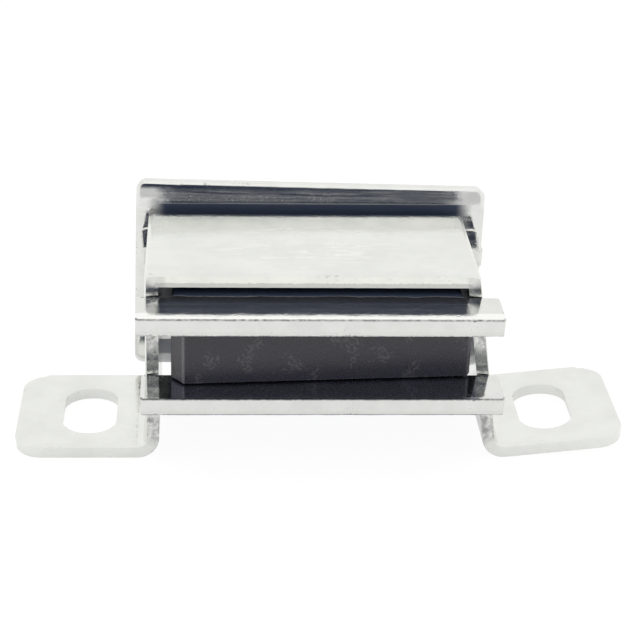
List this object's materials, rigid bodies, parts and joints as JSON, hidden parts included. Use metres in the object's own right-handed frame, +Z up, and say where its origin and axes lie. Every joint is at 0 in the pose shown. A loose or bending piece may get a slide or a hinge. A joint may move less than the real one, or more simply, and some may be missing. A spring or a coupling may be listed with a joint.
{
  "type": "magnetic catch",
  "caption": "Magnetic cabinet catch: a folded metal housing with slotted ears holds steel pole plates and a magnet, with a flat strike plate on the poles.",
  "frame": {"origin": "middle of the footprint, on the mounting face under the housing's ears, with the strike plate on the poles", "axes": "+X along the pole plates to the right ear, +Y out of the catch's mouth to the strike plate, +Z up from the mounting face to the cover"},
  "size_m": [0.0556, 0.0226, 0.0206],
  "materials": {
    "housing": "tumbled bright aluminium sheet",
    "pole_plates": "bright plated steel with sheared edges",
    "magnet": "dark grey pressed ferrite, matte",
    "strike_plate": "bright plated steel"
  },
  "bodies": {
    "housing": {"housing": "housing"},
    "pole_pack": {"upper_pole_plate": "pole_plates", "lower_pole_plate": "pole_plates", "magnet": "magnet"},
    "strike": {"strike_plate": "strike_plate"}
  },
  "joints": [
    {"name": "pole_pack_float", "type": "slide", "parent": "housing", "child": "pole_pack", "axis": [0, 1, 0], "range_m": [-0.0005, 0]},
    {"name": "strike_pull_off", "type": "slide", "parent": "pole_pack", "child": "strike", "axis": [0, 1, 0], "range_m": [0, 0.02]}
  ]
}
